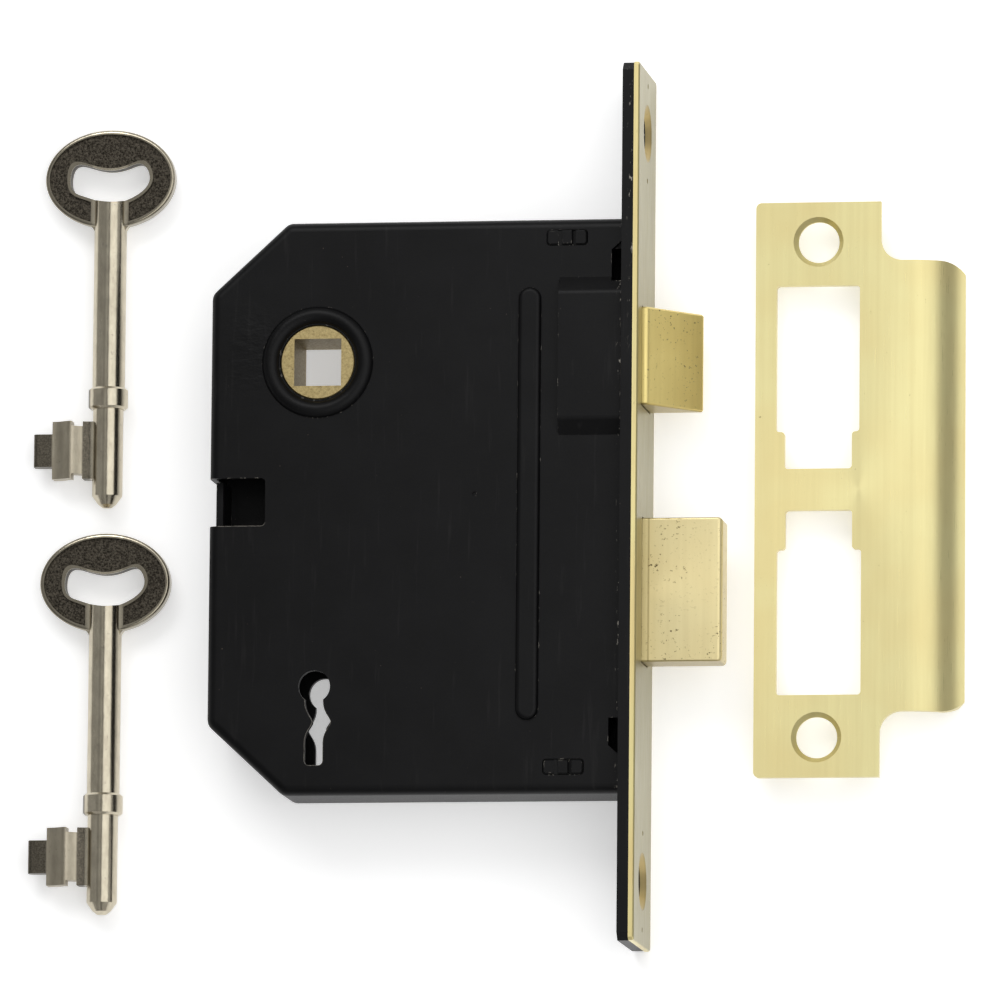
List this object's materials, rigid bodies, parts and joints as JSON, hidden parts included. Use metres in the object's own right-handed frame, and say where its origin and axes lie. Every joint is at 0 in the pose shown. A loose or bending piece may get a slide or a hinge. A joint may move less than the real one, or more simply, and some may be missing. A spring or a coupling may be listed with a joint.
{
  "type": "mortice sashlock",
  "caption": "Mortice sashlock with sprung latch bolt and keyed deadbolt in a pressed steel case, with brass forend, strike plate and matching lever keys.",
  "frame": {"origin": "on the surface the set lies on, under the middle of its bounding box", "axes": "+X is the way the bolts throw, +Y is up the door when fitted, +Z points out of the visible case face along the spindle and key axes"},
  "size_m": [0.1646, 0.1536, 0.022],
  "materials": {
    "black_paint": "satin black paint",
    "satin_brass": "satin, brushed",
    "plain_brass": "as machined",
    "zinc_steel": "bright zinc",
    "spring_steel": "drawn wire",
    "nickel": "nickel plate, textured bow"
  },
  "bodies": {
    "lock": {"case_shell": "black_paint", "case_cover": "black_paint", "cover_pillar": "zinc_steel", "cover_screw": "zinc_steel", "inner_forend": "black_paint", "outer_forend": "satin_brass", "forend_lug_upper": "black_paint", "forend_lug_lower": "black_paint", "latch_spring": "spring_steel", "latch_spring_post": "zinc_steel", "follower_spring": "spring_steel", "follower_spring_post": "zinc_steel", "lever_pivot": "zinc_steel", "lever_spring_stop": "zinc_steel"},
    "latch": {"latch_bolt": "satin_brass", "latch_tail": "zinc_steel", "latch_rivets": "zinc_steel"},
    "follower": {"follower": "plain_brass"},
    "deadbolt": {"deadbolt": "satin_brass", "deadbolt_tail": "zinc_steel", "deadbolt_rivets": "zinc_steel", "bolt_stump": "zinc_steel"},
    "front_lever": {"lever_front": "plain_brass", "lever_spring_front": "spring_steel"},
    "back_lever": {"lever_back": "plain_brass", "lever_spring_back": "spring_steel"},
    "strike": {"strike_plate": "satin_brass"},
    "key_1": {"key_1": "nickel"},
    "key_2": {"key_2": "nickel"}
  },
  "joints": [
    {"name": "follower_turn", "type": "hinge", "parent": "lock", "child": "follower", "pos_m": [-0.0296, 0.0252, 0.011], "axis": [0, 0, 1], "range_deg": [0, 40], "deforming": ["follower_spring"]},
    {"name": "latch_slide", "type": "slide", "parent": "lock", "child": "latch", "axis": [-1, 0, 0], "range_m": [0, 0.0092], "stiffness_N_per_m": 400, "springref_m": -0.012, "deforming": ["latch_spring"]},
    {"name": "deadbolt_throw", "type": "slide", "parent": "lock", "child": "deadbolt", "axis": [-1, 0, 0], "range_m": [0, 0.014]},
    {"name": "front_lever_lift", "type": "hinge", "parent": "lock", "child": "front_lever", "pos_m": [-0.0086, -0.0088, 0.015], "axis": [0, 0, -1], "range_deg": [0, 6.5], "deforming": ["lever_spring_front"]},
    {"name": "back_lever_lift", "type": "hinge", "parent": "lock", "child": "back_lever", "pos_m": [-0.0086, -0.0088, 0.007], "axis": [0, 0, -1], "range_deg": [0, 6.5], "deforming": ["lever_spring_back"]},
    {"name": "strike_lift", "type": "slide", "parent": "lock", "child": "strike", "axis": [0, 0, 1], "range_m": [0, 0.05]},
    {"name": "key_1_lift", "type": "slide", "parent": "lock", "child": "key_1", "axis": [0, 0, 1], "range_m": [0, 0.05]},
    {"name": "key_2_lift", "type": "slide", "parent": "lock", "child": "key_2", "axis": [0, 0, 1], "range_m": [0, 0.05]}
  ],
  "couplings": [
    {"joint": "follower_turn", "follows": "latch_slide", "rad_per_m": 75.884},
    {"joint": "front_lever_lift", "follows": "deadbolt_throw", "rad_per_m": 8.1033},
    {"joint": "back_lever_lift", "follows": "deadbolt_throw", "rad_per_m": 8.1033}
  ]
}
